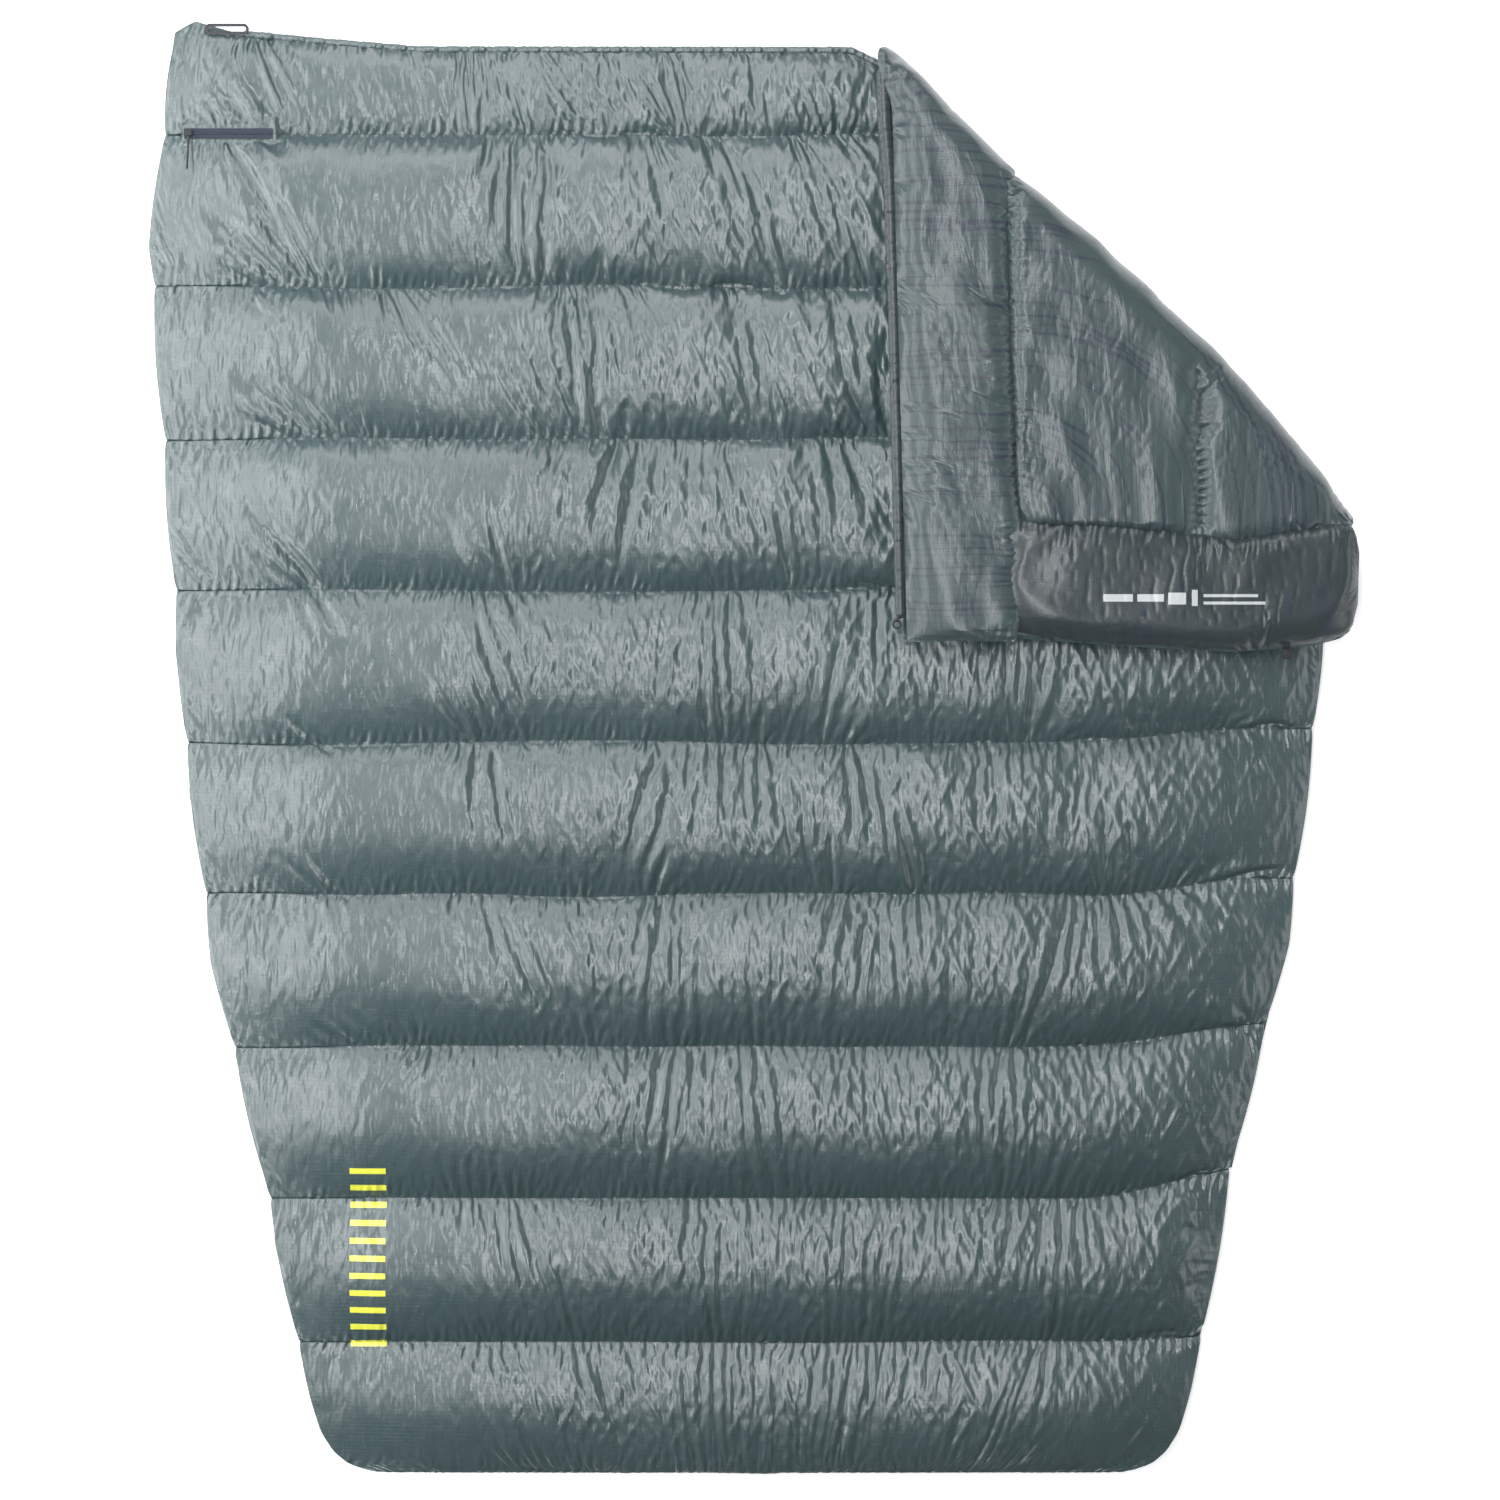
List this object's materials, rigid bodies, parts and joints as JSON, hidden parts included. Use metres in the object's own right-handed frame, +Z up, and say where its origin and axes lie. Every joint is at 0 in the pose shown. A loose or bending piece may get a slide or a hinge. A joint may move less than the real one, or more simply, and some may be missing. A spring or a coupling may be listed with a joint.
{
  "type": "camp quilt",
  "caption": "Wide tapered down camp quilt lying flat, cross-baffled, one head corner folded over to its liner, with zip pocket, webbing loop and snap tab.",
  "frame": {"origin": "on the floor under the middle of the lying quilt's box, bottom centre", "axes": "+Z up from the floor it lies on, +Y from the foot end to the head end, +X to the side of the folded corner"},
  "size_m": [1.656, 2.01, 0.1243],
  "materials": {
    "shell_fabric": "satin",
    "hem_fabric": "satin",
    "liner_fabric": "satin",
    "down": "matte",
    "baffle_mesh": "matte",
    "elastic": "matte",
    "zip_tape": "matte",
    "zip_plastic": "satin",
    "zip_metal": "satin",
    "cord": "matte",
    "webbing": "matte",
    "snap_plastic": "satin",
    "eyelet_metal": "satin"
  },
  "bodies": {
    "quilt": {"baffle_wall_1": "baffle_mesh", "baffle_wall_2": "baffle_mesh", "baffle_wall_3": "baffle_mesh", "baffle_wall_4": "baffle_mesh", "baffle_wall_5": "baffle_mesh", "baffle_wall_6": "baffle_mesh", "baffle_wall_7": "baffle_mesh", "baffle_wall_8": "baffle_mesh", "baffle_wall_9": "baffle_mesh", "corner_gusset": "shell_fabric", "down_fill_1": "down", "down_fill_2": "down", "down_fill_3": "down", "down_fill_4": "down", "down_fill_5": "down", "down_fill_6": "down", "down_fill_7": "down", "down_fill_8": "down", "down_fill_foot": "down", "down_fill_header": "down", "foot_pocket_fill": "down", "foot_pocket_panel": "liner_fabric", "head_draft_tube": "liner_fabric", "head_draft_tube_fill": "down", "head_elastic": "elastic", "head_hem": "hem_fabric", "inner_liner": "liner_fabric", "left_draft_tube": "liner_fabric", "left_draft_tube_fill": "down", "outer_shell": "shell_fabric", "right_draft_tube": "liner_fabric", "right_draft_tube_fill": "down", "zip_coil": "zip_plastic", "zip_pocket_bag": "liner_fabric", "zip_stops": "zip_plastic", "zip_tapes": "zip_tape"},
    "zip_slider": {"zip_slider": "zip_metal"},
    "zip_pull": {"zip_pull": "cord"},
    "webbing_loop": {"webbing_loop": "webbing"},
    "snap": {"snap_tab": "webbing", "snap_cap": "snap_plastic"},
    "corner": {"cord_eyelet": "eyelet_metal", "cord_loop": "cord", "corner_baffle_1": "baffle_mesh", "corner_baffle_2": "baffle_mesh", "corner_baffle_3": "baffle_mesh", "corner_elastic": "elastic", "corner_fill_0": "down", "corner_fill_1": "down", "corner_fill_2": "down", "corner_fill_3": "down", "corner_head_tube": "liner_fabric", "corner_head_tube_fill": "down", "corner_hem": "hem_fabric", "corner_liner": "liner_fabric", "corner_shell": "shell_fabric", "corner_side_tube": "liner_fabric", "corner_side_tube_fill": "down", "corner_tube_end": "liner_fabric", "corner_tube_end_fill": "down"}
  },
  "joints": [
    {"name": "corner_fold", "type": "hinge", "parent": "quilt", "child": "corner", "pos_m": [0.5615, 0.5615, 0.0624], "axis": [-0.7071, 0.7071, 0], "range_deg": [0, 180]},
    {"name": "zip_slide", "type": "slide", "parent": "quilt", "child": "zip_slider", "axis": [1, 0, 0], "range_m": [0, 0.1074]},
    {"name": "zip_pull_swing", "type": "hinge", "parent": "zip_slider", "child": "zip_pull", "pos_m": [-0.7737, 0.8392, 0.0503], "axis": [-1, 0, 0], "range_deg": [0, 140]},
    {"name": "loop_swing", "type": "hinge", "parent": "quilt", "child": "webbing_loop", "pos_m": [-0.753, 0.99, 0.0392], "axis": [0, -1, 0], "range_deg": [0, 160]},
    {"name": "snap_tab_swing", "type": "hinge", "parent": "corner", "child": "snap", "pos_m": [0.732, 0.1328, 0.0998], "axis": [-1, 0, 0], "range_deg": [-45, 75]}
  ]
}
